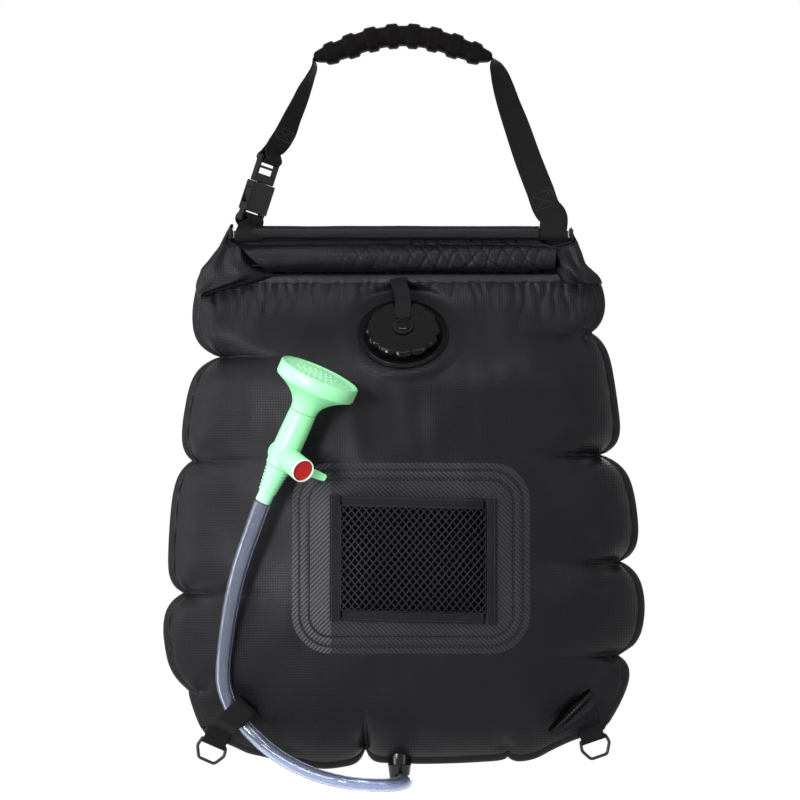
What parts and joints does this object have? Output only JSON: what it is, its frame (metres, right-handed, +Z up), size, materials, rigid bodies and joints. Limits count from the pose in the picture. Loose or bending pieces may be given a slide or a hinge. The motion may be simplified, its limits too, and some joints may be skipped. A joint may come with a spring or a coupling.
{
  "type": "camp shower bag",
  "caption": "Hanging camp shower bag with a rolled top, webbing handle, screw filler cap, front mesh pocket, lower D-rings, clear hose and a push-valve shower head.",
  "frame": {"origin": "hanging point, under the apex of the grip", "axes": "+X to the right as seen from the front, +Y to the back of the bag, +Z up"},
  "size_m": [0.4317, 0.2193, 0.6904],
  "materials": {
    "bag_sheet": "satin",
    "rolled_sheet": "satin",
    "patch_cloth": "matte",
    "webbing": "matte",
    "mesh_net": "matte",
    "black_rubber": "matte",
    "black_plastic": "satin",
    "mint_plastic": "satin",
    "red_plastic": "satin",
    "clear_hose": "gloss",
    "white_plastic": "satin",
    "steel_wire": "satin"
  },
  "bodies": {
    "handle": {"grip": "black_rubber", "handle_webbing": "webbing", "buckle_webbing": "webbing", "buckle_socket": "black_plastic", "buckle_plug": "black_plastic"},
    "prong_left": {"buckle_prong_left": "black_plastic"},
    "prong_right": {"buckle_prong_right": "black_plastic"},
    "bag": {"stiffener_rod": "white_plastic", "rod_cap_left": "black_plastic", "rod_cap_right": "black_plastic", "rolled_top": "rolled_sheet", "shoulder_fold_left": "rolled_sheet", "shoulder_fold_right": "rolled_sheet", "front_panel": "bag_sheet", "back_panel": "bag_sheet", "seam_band_front": "bag_sheet", "seam_band_back": "bag_sheet", "filler_neck": "black_plastic", "cap_tether": "black_rubber", "pocket_patch": "patch_cloth", "pocket_tape_left": "webbing", "pocket_tape_right": "webbing", "pocket_tape_bottom": "webbing", "pocket_hem_top": "webbing", "pocket_net": "mesh_net", "corner_strap_left": "webbing", "corner_strap_right": "webbing", "outlet_spout": "black_plastic", "hose": "clear_hose", "hose_coupling": "mint_plastic", "head_funnel": "mint_plastic", "rose_plate": "mint_plastic", "valve_body": "mint_plastic"},
    "cap_ring": {"tether_ring": "black_rubber"},
    "cap": {"screw_cap": "black_plastic", "tether_pin": "black_plastic", "cap_gasket": "black_rubber"},
    "button": {"valve_button": "red_plastic", "valve_plunger": "white_plastic", "o_ring_front": "black_rubber", "o_ring_rear": "black_rubber"},
    "ring_left": {"d_ring_left": "steel_wire"},
    "ring_right": {"d_ring_right": "steel_wire"}
  },
  "joints": [
    {"name": "bag_swing", "type": "hinge", "parent": "handle", "child": "bag", "pos_m": [0, 0, -0.167], "axis": [1, 0, 0], "range_deg": [-60, 60]},
    {"name": "prong_left_squeeze", "type": "hinge", "parent": "handle", "child": "prong_left", "pos_m": [-0.13351, -0.00926, -0.11879], "axis": [0.7791, -0.5736, -0.2531], "range_deg": [0, 7], "stiffness_Nm_per_rad": 0.5},
    {"name": "prong_right_squeeze", "type": "hinge", "parent": "handle", "child": "prong_right", "pos_m": [-0.12118, 0.00926, -0.1228], "axis": [-0.7791, 0.5736, 0.2531], "range_deg": [0, 7], "stiffness_Nm_per_rad": 0.5},
    {"name": "cap_lift", "type": "slide", "parent": "bag", "child": "cap_ring", "axis": [0, -0.7431, 0.6691], "range_m": [0, 0.00625], "deforming": ["cap_tether"]},
    {"name": "cap_turn", "type": "hinge", "parent": "cap_ring", "child": "cap", "pos_m": [0, -0.02884, -0.258], "axis": [0, -0.7431, 0.6691], "range_deg": [0, 450]},
    {"name": "button_push", "type": "slide", "parent": "bag", "child": "button", "axis": [-0.4674, 0.8039, 0.3678], "range_m": [0, 0.005]},
    {"name": "ring_left_swing", "type": "hinge", "parent": "bag", "child": "ring_left", "pos_m": [-0.17009, 0.014, -0.62469], "axis": [0.9158, 0, -0.4017], "range_deg": [-80, 80]},
    {"name": "ring_right_swing", "type": "hinge", "parent": "bag", "child": "ring_right", "pos_m": [0.17109, 0.014, -0.62061], "axis": [0.9452, 0, 0.3266], "range_deg": [-80, 80]}
  ],
  "couplings": [
    {"joint": "cap_turn", "follows": "cap_lift", "rad_per_m": 1256.6}
  ]
}
